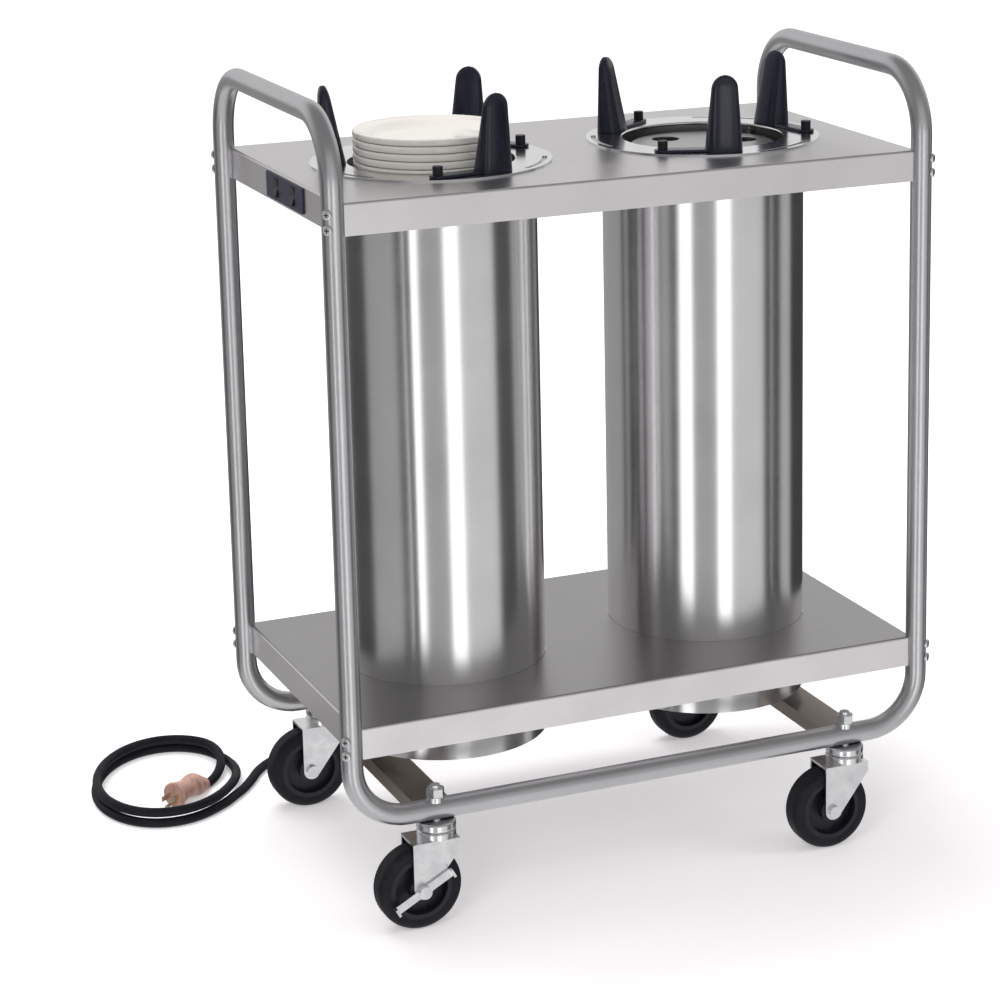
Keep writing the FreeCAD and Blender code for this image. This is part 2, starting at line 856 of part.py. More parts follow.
def guide_post():
    """Tapered post at the origin: X points away from the plates."""
    base = rounded_rectangle(ORIGIN, guide_base_t / 2, guide_base_w / 2, guide_base_t * guide_edge_share)
    tip_at = V(guide_lean, 0, guide_h)
    tip = rounded_rectangle(tip_at, guide_top_t / 2, guide_top_w / 2, guide_top_t * guide_edge_share)
    post = Part.makeLoft([base, tip], True, True)
    radius = guide_top_w / 2
    shoulder = guide_h - radius
    side = guide_base_w
    arch = [
        Part.LineSegment(V(0, -side, 0), V(0, side, 0)).toShape(),
        Part.LineSegment(V(0, side, 0), V(0, side, shoulder)).toShape(),
        Part.LineSegment(V(0, side, shoulder), V(0, radius, shoulder)).toShape(),
        Part.Arc(V(0, radius, shoulder), V(0, 0, guide_h), V(0, -radius, shoulder)).toShape(),
        Part.LineSegment(V(0, -radius, shoulder), V(0, -side, shoulder)).toShape(),
        Part.LineSegment(V(0, -side, shoulder), V(0, -side, 0)).toShape(),
    ]
    face = Part.Face(Part.Wire(arch))
    face.translate(V(-guide_base_t, 0, 0))
    shoulder_block = block(V(-guide_base_t, -side, 0), V(guide_base_t, side, shoulder))
    return post.common(face.extrude(ALONG * 2 * guide_base_t).fuse(shoulder_block))


def knob_point(side, index, z):
    angle = guide_angles[side] + index * FULL_TURN / guide_count - knob_turn
    return polar(knob_ring_d / 2, angle, V(dispensers[side], 0, 0), z)


def guide(side, index):
    """Guide post on its foot plate, which is bored for the clamp stud."""
    centre = V(dispensers[side], 0, 0)
    angle = guide_angles[side] + index * FULL_TURN / guide_count
    at = polar(guide_ring_d / 2, angle, centre, arm_z)
    post = turned(guide_post(), ORIGIN, UP, angle)
    post.translate(at)
    pivot = knob_point(side, index, arm_z)
    reach = (at - pivot).Length
    half = arm_pad_d / 2
    foot = block(V(0, -half, 0), V(reach, half, arm_t)).fuse(rod(arm_pad_d, arm_t, ORIGIN))
    heading = at - pivot
    foot.rotate(ORIGIN, UP, degrees(atan2(heading.y, heading.x)))
    foot.translate(pivot)
    shape = post.fuse(foot).removeSplitter()
    return shape.cut(rod(knob_stud_d + 2 * knob_fit, arm_t + 2 * over, pivot - UP * over))


def guide_knob(side, index):
    """Stud standing on the flange, with a round grip above the foot plate."""
    stud = rod(knob_stud_d, arm_t + 2 * arm_gap, knob_point(side, index, flange_top_z))
    grip_z = flange_top_z + arm_t + 2 * arm_gap
    grip = rod(knob_d, knob_h, knob_point(side, index, grip_z))
    return stud.fuse(grip).removeSplitter()


# Controls

control_x = -shelf_x
control_z = top_shelf_z - shelf_lip / 2
rocker_x = control_x - control_t + rocker_depth / 2


def switch_points():
    first = V(rocker_x, control_y - switch_spacing / 2, control_z)
    return [first, first + REAR * switch_spacing]


def rocker_window(at, margin):
    """Space of a switch pocket, larger than the rocker by a margin."""
    half_w = rocker_w / 2 + margin
    half_h = rocker_h / 2 + margin
    low = V(control_x - control_t - over, at.y - half_w, at.z - half_h)
    return block(low, V(control_x + housing_depth - housing_wall, at.y + half_w, at.z + half_h))


def control_plate():
    """Plate on the shelf lip, with two moulded switch pockets behind it."""
    half_w = control_w / 2
    half_h = control_h / 2
    low = V(control_x - control_t, control_y - half_w, control_z - half_h)
    plate_shape = block(low, V(control_x, control_y + half_w, control_z + half_h))
    corners = [edge for edge in plate_shape.Edges if edge.BoundBox.XLength > control_t / 2]
    plate_shape = plate_shape.makeFillet(control_round, corners)
    for at in switch_points():
        wall = rocker_gap + housing_wall
        back = V(control_x, at.y - rocker_w / 2 - wall, at.z - rocker_h / 2 - wall)
        front = V(control_x + housing_depth, at.y + rocker_w / 2 + wall, at.z + rocker_h / 2 + wall)
        plate_shape = plate_shape.fuse(block(back, front))
        plate_shape = plate_shape.cut(rocker_window(at, rocker_gap))
        pin_l = rocker_w + 2 * rocker_gap + housing_wall
        pin = rod(rocker_pin_d, pin_l, at - REAR * (pin_l / 2), REAR)
        plate_shape = plate_shape.fuse(pin)
    return plate_shape.removeSplitter()


def lip_cut(shape):
    """Cut-outs in the end lip that the switch pockets pass through."""
    for at in switch_points():
        margin = rocker_gap + housing_wall + housing_gap
        shape = shape.cut(rocker_window(at, margin))
    return shape


def rocker(index):
    """Rocker with a shallow ridge in front, tilted to one side at rest."""
    at = switch_points()[index]
    half_h = rocker_h / 2
    half_w = rocker_w / 2
    face = -rocker_depth / 2
    section = [V(face - rocker_rise, 0, half_h), V(face, 0, 0), V(face - rocker_rise, 0, -half_h)]
    section += [V(rocker_depth / 4, 0, -half_h), V(rocker_depth / 4, 0, half_h)]
    shape = prism(section, REAR * rocker_w)
    shape.translate(at - REAR * half_w)
    shape = shape.cut(rod(rocker_pin_d + 2 * knob_fit, rocker_w + 2 * over, at - REAR * (half_w + over), REAR))
    return turned(shape, at, REAR, rocker_tilt)


# Junction box and cord

def junction_box():
    """Sheet box hung under the bottom shelf, with an outlet to the rear."""
    top = bottom_shelf_z - shelf_sheet
    low = V(box_x - box_w / 2, box_front_y, top - box_h)
    high = V(box_x + box_w / 2, box_rear_y, top)
    margin = V(box_wall, box_wall, box_wall)
    shape = block(low, high).cut(block(low + margin, high - margin))
    outlet = V(box_x, box_rear_y - box_wall - over, cord_exit_z)
    return shape.cut(rod(cord_d + 2 * relief_fit, box_wall + 2 * over, outlet, REAR))


def strain_relief():
    """Tapered sleeve on the outlet, which the cord leaves at its thin end."""
    seat = V(box_x, box_rear_y, cord_exit_z)
    collar = rod(relief_flange_d, relief_flange_t, seat, REAR)
    cone_l = relief_l - relief_flange_t
    cone = Part.makeCone(relief_base_d / 2, relief_tip_d / 2, cone_l, seat + REAR * relief_flange_t, REAR)
    bore = rod(cord_d + 2 * relief_fit, relief_l, seat, REAR)
    return collar.fuse(cone).removeSplitter().cut(bore)


def coil_point(turn):
    """A place on the coil, for an angle that grows along the cord."""
    angle = radians(turn)
    share = turn / FULL_TURN
    half_w = coil_half_w - coil_w_step * share
    half_l = coil_half_l - coil_l_step * share
    lean = radians(coil_turn)
    across = half_w * cos(angle)
    along = -half_l * sin(angle)
    x = coil_x + across * cos(lean) + along * sin(lean)
    y = coil_y - across * sin(lean) + along * cos(lean)
    climb = (turn - coil_climb_start) / (coil_climb_end - coil_climb_start)
    climb = min(1, max(0, climb))
    lift = (cord_d + coil_layer_gap) * climb * climb * (3 - 2 * climb)
    return V(x, y, cord_d / 2 + lift)


def coil_heading(turn):
    step = (coil_end - coil_start) / FULL_TURN
    return (coil_point(turn + step) - coil_point(turn - step)).normalize()


def path_radii(points, share):
    """Radius at each inner point, as large as a share of its shorter run allows."""
    radii = []
    for index in range(1, len(points) - 1):
        back = points[index - 1] - points[index]
        ahead = points[index + 1] - points[index]
        half_turn = (pi - back.getAngle(ahead)) / 2
        radii.append(share * min(back.Length, ahead.Length) / tan(half_turn))
    return radii


def plug_end():
    """Where the cord meets the plug, and the direction it goes in there."""
    turn = radians(plug_heading)
    return V(plug_x, plug_y, cord_d / 2), V(cos(turn), sin(turn), 0)


def coil_route():
    """Points of the coil and of its tail, which comes down off it to the plug."""
    step = (coil_end - coil_start) / coil_spans
    points = [coil_point(coil_start) - coil_heading(coil_start) * coil_stub]
    points += [coil_point(coil_start + step * index) for index in range(coil_spans + 1)]
    points += [
        V(-358.8, 358.0, 15.4),
        V(-370.5, 331.8, 8.4),
    ]
    plug_at, plug_way = plug_end()
    return points + [plug_at - plug_way * coil_stub, plug_at]


def cord_coil():
    """The coil in one unbroken tube, from the cord's floor run to the plug."""
    points = coil_route()
    radii = path_radii(points, coil_share)
    edges = rounded_path(points, radii)
    report_cord("coil", edges, radii)
    report_gap(edges)
    return cord_tube("coil", points, edges)


def cord_tube(name, points, edges):
    """The cord swept along a path, with its volume set against the path's length."""
    solid = swept(edges, cord_d, points[0], (points[1] - points[0]).normalize())
    length = sum(edge.Length for edge in edges)
    expected = pi * cord_d * cord_d / 4 * length
    print(name, "volume share", round(solid.Volume / expected, 4))
    return solid


def report_cord(name, edges, radii):
    length = sum(edge.Length for edge in edges)
    print(name, "length", round(length, 1), "tightest bend", round(min(radii), 1))


def report_gap(edges):
    """Print the least gap of the coil to itself, measured on points."""
    points = []
    run = 0.0
    for edge in edges:
        count = max(2, int(edge.Length / cord_d) * 2)
        step = edge.Length / count
        for index, point in enumerate(edge.discretize(count)):
            points.append((run + step * index, point))
        run += edge.Length
    least = run
    far = pi * cord_d
    for index, (place, point) in enumerate(points):
        for other_place, other in points[index + 1:]:
            if other_place - place > far:
                least = min(least, (other - point).Length - cord_d)
    print("coil gap to itself", round(least, 2))


def cord_route():
    """Points of the cord from the strain relief to the coil, chosen by hand."""
    start_way = coil_heading(coil_start)
    end = coil_point(coil_start) - start_way * coil_stub
    points = [
        V(-175.0, 224.0, 190.0),
        V(-175.0, 270.0, 188.0),
        V(-177.0, 310.0, 163.0),
        V(-182.0, 333.0, 117.0),
        V(-194.0, 346.0, 68.0),
        V(-221.0, 357.0, 28.0),
        V(-263.0, 362.0, 6.0),
        V(-307.0, 346.0, 6.0),
    ]
    return points + [end - start_way * coil_lead, end]


def cord_run():
    """The cord's free stretch, out of the relief and down to the floor."""
    points = cord_route()
    radii = path_radii(points, run_share)
    edges = rounded_path(points, radii)
    report_cord("run", edges, radii)
    return cord_tube("run", points, edges)


def plug_parts():
    """Moulded plug lying on the floor, and its two blades and earth pin."""
    at, way = plug_end()
    drop = cord_d / 2
    lift = plug_face_d / 2
    boot_start = Part.Wire(Part.makeCircle(cord_d / 2, ORIGIN, ALONG))
    boot_end = Part.Wire(Part.makeCircle(plug_d / 2, V(plug_boot_l, 0, lift - drop), ALONG))
    boot = Part.makeLoft([boot_start, boot_end], True, True)
    body = rod(plug_d, plug_l, V(plug_boot_l, 0, lift - drop), ALONG)
    face_x = plug_boot_l + plug_l
    face = rod(plug_face_d, plug_face_t, V(face_x, 0, lift - drop), ALONG)
    plug = boot.fuse(body).fuse(face).removeSplitter()
    tip = face_x + plug_face_t
    blades = []
    for side in (-1, 1):
        y = side * blade_spacing / 2
        low = V(tip, y - blade_t / 2, lift - drop - blade_w / 2)
        blades.append(block(low, V(tip + blade_l, y + blade_t / 2, lift - drop + blade_w / 2)))
    blades.append(rod(earth_pin_d, blade_l, V(tip, 0, lift - drop - earth_pin_drop), ALONG))
    for shape in [plug] + blades:
        shape.rotate(ORIGIN, UP, plug_heading)
        shape.translate(at)
    return plug, blades


def build():
    os.makedirs("parts", exist_ok=True)
    save("front_frame_tube", frame_tube(-1))
    save("rear_frame_tube", frame_tube(1))
    save("left_handle_tube", handle_tube(-1))
    save("right_handle_tube", handle_tube(1))
    save("left_cross_channel", cross_channel(-1))
    save("right_cross_channel", cross_channel(1))
    save("top_shelf", lip_cut(shelf(top_shelf_z)))
    save("bottom_shelf", shelf(bottom_shelf_z))
    blocks = []
    screws = []
    for side_x, side_y in caster_places.values():
        for shelf_z in (top_shelf_z, bottom_shelf_z):
            blocks.append(corner_block(side_x, side_y, shelf_z))
        for height in screw_heights():
            screws.append(leg_screw(side_x, side_y, height))
    save("shelf_corner_blocks", blocks)
    save("leg_screws", screws)
    save("caster_stems", [caster_stem(name) for name in caster_places])
    save("caster_nuts", [caster_nut(name) for name in caster_places])
    for name in caster_places:
        save(name + "_fork", fork(name))
        save(name + "_axle", axle(name))
        save(name + "_tyre", tyre(name))
        save(name + "_wheel_core", wheel_core(name))
    for name in braked:
        save(name + "_brake_lever", brake_lever(name))
    for side, x in dispensers.items():
        save(side + "_dispenser_body", dispenser_body(x))
        save(side + "_liner", liner(x))
        save(side + "_flange_ring", flange_ring(side))
        save(side + "_plate_carrier", carrier(side))
        save(side + "_carrier_springs", carrier_springs(side))
        for index in range(guide_count):
            save(side + "_guide_post_" + str(index + 1), guide(side, index))
    save("insulation_sleeves", [insulation(x) for x in dispensers.values()])
    save("base_pans", [base_pan(x) for x in dispensers.values()])
    save("ring_heaters", [heater(x) for x in dispensers.values()])
    knobs = [guide_knob(side, index) for side in dispensers for index in range(guide_count)]
    save("guide_knobs", knobs)
    save("plate_stack", plate_stack())
    save("control_plate", control_plate())
    save("front_rocker_switch", rocker(0))
    save("rear_rocker_switch", rocker(1))
    save("junction_box", junction_box())
    save("strain_relief", strain_relief())
    save("cord_run", cord_run())
    save("cord_coil", cord_coil())
    plug, blades = plug_parts()
    save("plug_body", plug)
    save("plug_blades", blades)


build()
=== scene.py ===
import bpy
import json
import math
from mathutils import Matrix, Vector


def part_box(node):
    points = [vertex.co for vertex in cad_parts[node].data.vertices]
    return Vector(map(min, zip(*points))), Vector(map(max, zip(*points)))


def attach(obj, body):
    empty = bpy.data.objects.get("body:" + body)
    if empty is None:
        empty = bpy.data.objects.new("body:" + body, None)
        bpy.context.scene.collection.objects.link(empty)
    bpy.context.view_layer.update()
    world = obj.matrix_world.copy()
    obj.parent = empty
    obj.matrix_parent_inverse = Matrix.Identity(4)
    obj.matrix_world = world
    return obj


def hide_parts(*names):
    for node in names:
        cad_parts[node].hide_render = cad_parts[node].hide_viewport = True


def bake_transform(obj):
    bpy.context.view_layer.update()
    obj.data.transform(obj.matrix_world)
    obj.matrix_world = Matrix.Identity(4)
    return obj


# Heated plate dispenser: materials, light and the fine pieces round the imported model.
# Lengths are in metres and angles in degrees. X runs along the cart, Y to its rear, Z up.

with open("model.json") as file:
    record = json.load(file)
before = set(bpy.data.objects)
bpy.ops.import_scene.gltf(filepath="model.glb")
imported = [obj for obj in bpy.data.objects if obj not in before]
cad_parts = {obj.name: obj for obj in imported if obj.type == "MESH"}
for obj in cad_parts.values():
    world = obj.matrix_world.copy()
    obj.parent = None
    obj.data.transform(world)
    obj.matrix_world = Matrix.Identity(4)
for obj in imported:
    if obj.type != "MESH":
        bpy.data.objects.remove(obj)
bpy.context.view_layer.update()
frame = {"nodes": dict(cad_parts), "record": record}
nodes = frame["nodes"]

UP = Vector((0, 0, 1))
FULL_TURN = 360.0

# Places of the colour sockets of a Mix node
MIX_FIRST = 6
MIX_SECOND = 7
MIX_RESULT = 2

# Camera of the photograph
camera_place = Vector((-1.35297, -3.19740, 1.46164))
camera_yaw = 24.3995
camera_pitch = -13.3557
camera_roll = -0.6101
camera_lens = 105.993
camera_sensor_w = 36.0
camera_reach = 100.0
camera_shift_x = -0.1456
camera_shift_y = -0.1732

# Frame and shelves
leg_x = 0.366
leg_y = 0.203
tube_r = 0.0127
screw_head_h = 0.0032
screw_drop = 0.010
screw_pitch = 0.017
screw_rows = 2
cross_l = 0.0052
cross_w = 0.0012
cross_sink = 0.0003
cross_rise = 0.00015

# Dispensers, plates and guides
dispenser_x = 0.176
plate_r = 0.091
plate_h = 0.022
plate_rim = 0.0084
plate_low_round = 0.0016
plate_top_round = 0.0026
plate_count = 9
plate_steps = 128
# A plate's section by radius and by height over its foot: outwards along the underside
# from the middle, and back inwards along the well
plate_under = [
    (0.0, 0.005), (0.050, 0.005), (0.0507, 0.0008), (0.052, 0.0), (0.0534, 0.0008),
    (0.055, 0.0054), (0.070, 0.0086), (0.082, 0.0118)]
plate_well = [
    (0.079, 0.0198), (0.076, 0.0188), (0.072, 0.0156), (0.065, 0.0106), (0.059, 0.0093),
    (0.048, 0.009), (0.0, 0.009)]
guide_ring = 0.116
guide_h = 0.091
guide_foot_z = 0.8603
guide_base_w = 0.044
guide_base_t = 0.032
guide_top_w = 0.029
guide_top_t = 0.011
guide_lean = 0.008
guide_tip = 0.0006
guide_bevel = 0.0012
guide_crown_share = 0.65
# Rows of points crowd to the top with a power over 1, and a corner is squarer the
# further its power is below 1
guide_row_power = 1.35
guide_corner_power = 0.62
guide_rows = 26
guide_corners = 40
guide_angles = {"left": 47.0, "right": 17.0}
guide_count = 3
spring_count = 3
spring_ring = 0.1035
spring_angle = 30.0
spring_d = 0.009
spring_wire_d = 0.0016
spring_steps = 10
spring_corners = 6
arm_t = 0.003
arm_r = 0.010
arm_bevel = 0.0007
arm_steps = 14
knob_ring = 0.128
knob_back = 0.076
knob_turn = math.degrees(knob_back / knob_ring)

# Cord: its exit, its way down to the floor, its coil, and one place of its tail
cord_d = 0.012
cord_exit = (-0.175, 0.224, 0.190)
cord_way_down = [
    (-0.175, 0.270, 0.188), (-0.177, 0.310, 0.163), (-0.182, 0.333, 0.117),
    (-0.194, 0.346, 0.068), (-0.2205, 0.3575, 0.028), (-0.2640, 0.3635, 0.006),
    (-0.3125, 0.3385, 0.006)]
cord_tail = (-0.3588, 0.3580, 0.0154)
cord_steps = 12
coil_x = -0.443
coil_y = 0.330
coil_half_w = 0.094
coil_half_l = 0.134
coil_w_step = 0.002
coil_l_step = 0.003
coil_lean = 18.0
coil_start = 35.0
coil_end = 668.0
coil_spans = 24
coil_climb_start = 330.0
coil_climb_end = 375.0
coil_layer_gap = 0.0008
coil_stub = 0.024
coil_lead = 0.038

# Plug
plug_x = -0.3996
plug_y = 0.3035
plug_heading = 219.0
plug_d = 0.030
plug_boot_l = 0.026
plug_l = 0.038
plug_face_t = 0.004
plug_face_d = 0.034
# Step of the boot's mouth over the cord, and of the grip's end below the face
plug_lip = 0.0008
plug_shoulder = 0.003
plug_waist = 0.002
plug_pinch = 0.12
plug_edge = 0.0012
plug_bevel = 0.0004
plug_corners = 40
plug_ribs = 4
plug_rib_step = 0.001
# Line of one rib: a share of its length, and how far it lies below the rib's top
plug_rib_line = [(0.15, 0.0), (0.75, 0.0), (0.95, 0.0012)]


# Meshes

def add_mesh(name, points, faces, smooth=True):
    mesh = bpy.data.meshes.new(name)
    mesh.from_pydata([tuple(point) for point in points], [], faces)
    mesh.validate()
    for face in mesh.polygons:
        face.use_smooth = smooth
    piece = bpy.data.objects.new(name, mesh)
    bpy.context.scene.collection.objects.link(piece)
    return piece


def skin(name, rings, smooth=True):
    """Closed skin over a row of rings, which all have the same number of points."""
    count = len(rings[0])
    points = [point for ring in rings for point in ring]
    faces = []
    for row in range(len(rings) - 1):
        for index in range(count):
            ahead = (index + 1) % count
            low = row * count
            high = low + count
            faces.append((low + index, low + ahead, high + ahead, high + index))
    faces.append(tuple(reversed(range(count))))
    faces.append(tuple(len(points) - count + index for index in range(count)))
    return add_mesh(name, points, faces, smooth)


def lathe(name, profile, centre, steps):
    """A section in radius and height, turned about a vertical axis that it ends on."""
    points = []
    for step in range(steps):
        turn = 2 * math.pi * step / steps
        for radius, height in profile:
            x = centre.x + radius * math.cos(turn)
            y = centre.y + radius * math.sin(turn)
            points.append((x, y, height))
    size = len(profile)
    faces = []
    for step in range(steps):
        near = step * size
        far = (step + 1) % steps * size
        for index in range(size - 1):
            faces.append((near + index, far + index, far + index + 1, near + index + 1))
    return weld(add_mesh(name, points, faces))


def weld(piece):
    """Joins the points that coincide on the axis of a lathed piece."""
    modifier = piece.modifiers.new("weld", "WELD")
    modifier.merge_threshold = 1e-6
    return piece


def bevel(piece, width, segments=3):
    modifier = piece.modifiers.new("bevel", "BEVEL")
    modifier.width = width
    modifier.segments = segments
    modifier.limit_method = "ANGLE"
    modifier.harden_normals = False


def arc(centre, radius, first, last, steps):
    """Points of an arc in radius and height, from one angle to another."""
    out, up = centre
    turns = [math.radians(first + (last - first) * step / steps) for step in range(steps + 1)]
    return [(out + radius * math.cos(turn), up + radius * math.sin(turn)) for turn in turns]


def oval(centre, first, second, count):
    """Points of an oval with two half axes, from the end of the first."""
    turns = [2 * math.pi * index / count for index in range(count)]
    return [centre + first * math.cos(turn) + second * math.sin(turn) for turn in turns]


def polar(radius, angle, centre, z):
    """A place at an angle on a level ring."""
    turn = math.radians(angle)
    return Vector((centre.x + radius * math.cos(turn), centre.y + radius * math.sin(turn), z))


def dispenser_centre(side):
    return Vector((dispenser_x if side == "right" else -dispenser_x, 0, 0))


# Materials

class Graph:
    """A tree of nodes, and short ways to add nodes to it and to link them."""

    def __init__(self, tree):
        self.tree = tree

    def add(self, kind, **values):
        made = self.tree.nodes.new(kind)
        for key, value in values.items():
            setattr(made, key, value)
        return made

    def link(self, source, target):
        self.tree.links.new(source, target)

    def math(self, operation, *values):
        """A calculation with links or numbers."""
        made = self.add("ShaderNodeMath", operation=operation)
        for socket, value in zip(made.inputs, values):
            if isinstance(value, (int, float)):
                socket.default_value = value
            else:
                self.link(value, socket)
        return made.outputs["Value"]

    def spread(self, value, low, high, start=0.3, end=0.7):
        """A value spread from one range over another."""
        made = self.add("ShaderNodeMapRange")
        made.inputs["From Min"].default_value = start
        made.inputs["From Max"].default_value = end
        made.inputs["To Min"].default_value = low
        made.inputs["To Max"].default_value = high
        self.link(value, made.inputs["Value"])
        return made.outputs["Result"]

    def mix(self, share, first, second):
        """A colour between two, each a link or three numbers."""
        made = self.add("ShaderNodeMix", data_type="RGBA")
        self.link(share, made.inputs["Factor"])
        for index, value in ((MIX_FIRST, first), (MIX_SECOND, second)):
            if isinstance(value, tuple):
                made.inputs[index].default_value = (*value, 1)
            else:
                self.link(value, made.inputs[index])
        return made.outputs[MIX_RESULT]


class Nodes(Graph):
    """A material with a principled shader, and ways to vary its surface."""

    def __init__(self, name, color, roughness, metallic=0.0):
        self.material = bpy.data.materials.new(name)
        self.material.use_nodes = True
        super().__init__(self.material.node_tree)
        self.shader = self.tree.nodes["Principled BSDF"]
        self.shader.inputs["Base Color"].default_value = (*color, 1)
        self.shader.inputs["Roughness"].default_value = roughness
        self.shader.inputs["Metallic"].default_value = metallic
        self.color = color
        self.roughness = roughness

    def place(self, stretch=(1, 1, 1)):
        """Object coordinates, stretched along each axis."""
        coordinates = self.add("ShaderNodeTexCoord")
        mapping = self.add("ShaderNodeMapping")
        mapping.inputs["Scale"].default_value = stretch
        self.link(coordinates.outputs["Object"], mapping.inputs["Vector"])
        return mapping.outputs["Vector"]

    def radius_place(self, stretch):
        """Stretched distance from the axis of the nearer dispenser."""
        coordinates = self.add("ShaderNodeTexCoord")
        split = self.add("ShaderNodeSeparateXYZ")
        self.link(coordinates.outputs["Object"], split.inputs["Vector"])
        offset = self.math("SUBTRACT", self.math("ABSOLUTE", split.outputs["X"]), dispenser_x)
        flat = self.add("ShaderNodeCombineXYZ")
        self.link(offset, flat.inputs["X"])
        self.link(split.outputs["Y"], flat.inputs["Y"])
        distance = self.add("ShaderNodeVectorMath", operation="LENGTH")
        self.link(flat.outputs["Vector"], distance.inputs[0])
        return self.math("MULTIPLY", distance.outputs["Value"], stretch)

    def noise(self, vector, scale=1.0, detail=4.0, roughness=0.55):
        made = self.add("ShaderNodeTexNoise")
        made.inputs["Scale"].default_value = scale
        made.inputs["Detail"].default_value = detail
        made.inputs["Roughness"].default_value = roughness
        self.link(vector, made.inputs["Vector"])
        return made.outputs["Fac"]

    def vary_color(self, value, low, high):
        """Base colour between two tones, each a multiple of the material's own."""
        first = tuple(part * share for part, share in zip(self.color, low))
        second = tuple(part * share for part, share in zip(self.color, high))
        self.link(self.mix(value, first, second), self.shader.inputs["Base Color"])

    def vary_roughness(self, value, change):
        spread = self.spread(value, self.roughness - change, self.roughness + change)
        self.link(spread, self.shader.inputs["Roughness"])

    def bump(self, value, distance, strength=1.0):
        made = self.add("ShaderNodeBump")
        made.inputs["Strength"].default_value = strength
        made.inputs["Distance"].default_value = distance
        self.link(value, made.inputs["Height"])
        self.link(made.outputs["Normal"], self.shader.inputs["Normal"])

    def paint_top_shade(self, tone):
        """Varied base colour times a tone on the faces that look up, which paints shade on the
        tops.
        """
        split = self.add("ShaderNodeSeparateXYZ")
        self.link(self.add("ShaderNodeTexCoord").outputs["Normal"], split.inputs["Vector"])
        base = self.shader.inputs["Base Color"]
        dark = self.add("ShaderNodeMix", data_type="RGBA", blend_type="MULTIPLY")
        share = self.spread(split.outputs["Z"], 0, 1, start=0.6, end=0.95)
        self.link(share, dark.inputs["Factor"])
        self.link(base.links[0].from_socket, dark.inputs[MIX_FIRST])
        dark.inputs[MIX_SECOND].default_value = (tone, tone, tone, 1)
        self.link(dark.outputs[MIX_RESULT], base)

    def stretch_highlights(self, amount, direction):
        """Anisotropic reflection, drawn out along a direction."""
        self.shader.inputs["Anisotropic"].default_value = amount
        tangent = self.add("ShaderNodeCombineXYZ")
        for name, part in zip("XYZ", direction):
            tangent.inputs[name].default_value = part
        self.link(tangent.outputs["Vector"], self.shader.inputs["Tangent"])


def grey(low, high):
    """Two grey tones for vary_color."""
    return (low, low, low), (high, high, high)


def brushed(name, color, roughness, grain, depth=0.00002, change=0.05):
    """Steel with a fine grain, and soft marks where it was wiped and handled."""
    made = Nodes(name, color, roughness, metallic=1.0)
    lines = made.noise(made.place(grain), detail=3.0)
    marks = made.noise(made.place(), scale=9.0, detail=5.0)
    made.vary_color(made.spread(marks, 0, 1), *grey(0.93, 1.04))
    made.vary_roughness(made.math("MULTIPLY", made.math("ADD", lines, marks), 0.5), change)
    made.bump(lines, depth)
    return made


def tube_steel():
    """Dull tube with hardly any grain."""
    made = brushed(
        "tube_steel", (0.57, 0.57, 0.585), 0.33, grain=(24, 24, 24), depth=0.000001, change=0.03)
    return made.material


def shelf_steel(name, color, top_painted_shade):
    """Satin sheet whose grain runs along the cart, and whose top faces are darkened with painted
    shade.
    """
    made = brushed(name, color, 0.32, grain=(9, 800, 800), depth=0.00001)
    made.paint_top_shade(top_painted_shade)
    return made.material


def body_steel():
    """Bright rolled sheet whose grain runs level and draws the reflections upright."""
    made = brushed(
        "body_steel", (0.73, 0.72, 0.73), 0.22, grain=(14, 14, 900), depth=0.000004, change=0.03)
    made.stretch_highlights(0.75, (0, 0, 1))
    return made.material


def shaded_channel_steel():
    """Brownish sheet whose grain runs across the cart, made darker as painted shade under the
    bottom shelf.
    """
    made = brushed("shaded_channel_steel", (0.30, 0.255, 0.22), 0.34, grain=(800, 9, 800), change=0.08)
    return made.material


def flange_steel():
    """Spun steel: its grain runs in rings round the opening."""
    made = Nodes("flange_steel", (0.80, 0.80, 0.81), 0.16, metallic=1.0)
    rings = made.add("ShaderNodeTexNoise", noise_dimensions="1D")
    rings.inputs["Scale"].default_value = 1.0
    made.link(made.radius_place(1500), rings.inputs["W"])
    marks = made.noise(made.place(), scale=14.0)
    made.vary_color(made.spread(marks, 0, 1), *grey(0.92, 1.05))
    made.vary_roughness(rings.outputs["Fac"], 0.06)
    made.bump(rings.outputs["Fac"], 0.00001)
    return made.material


def zinc(name, color, roughness):
    """Plated or cast metal, with a fine grain and darker patches."""
    made = Nodes(name, color, roughness, metallic=1.0)
    patches = made.noise(made.place(), scale=55.0, detail=6.0)
    fine = made.noise(made.place(), scale=900.0)
    made.vary_color(made.spread(patches, 0, 1), (0.86, 0.86, 0.88), (1.05, 1.04, 1.02))
    made.vary_roughness(patches, 0.09)
    made.bump(fine, 0.00002)
    return made.material


def plastic(name, color, roughness, coat=0.0):
    """Moulded plastic with a fine texture and faint scuffs."""
    made = Nodes(name, color, roughness)
    fine = made.noise(made.place(), scale=1400.0)
    scuffs = made.noise(made.place((60, 60, 12)), scale=3.0, detail=6.0)
    made.vary_color(made.spread(scuffs, 0, 1, start=0.35, end=0.8), *grey(0.85, 1.5))
    made.vary_roughness(scuffs, 0.07)
    made.bump(fine, 0.00002)
    made.shader.inputs["Specular IOR Level"].default_value = 0.35
    if coat:
        made.shader.inputs["Coat Weight"].default_value = coat
        made.shader.inputs["Coat Roughness"].default_value = 0.12
    return made.material


def rubber(name, color, dust):
    """Rubber with fine pores, and patches of dust that make it paler."""
    made = Nodes(name, color, 0.58)
    pores = made.noise(made.place(), scale=1100.0, detail=6.0)
    dirt = made.noise(made.place(), scale=42.0, detail=8.0, roughness=0.7)
    made.vary_color(made.spread(dirt, 0, 1, start=0.45, end=0.85), (1, 1, 1), dust)
    made.vary_roughness(dirt, 0.12)
    made.bump(pores, 0.00005)
    made.shader.inputs["Specular IOR Level"].default_value = 0.22
    return made.material


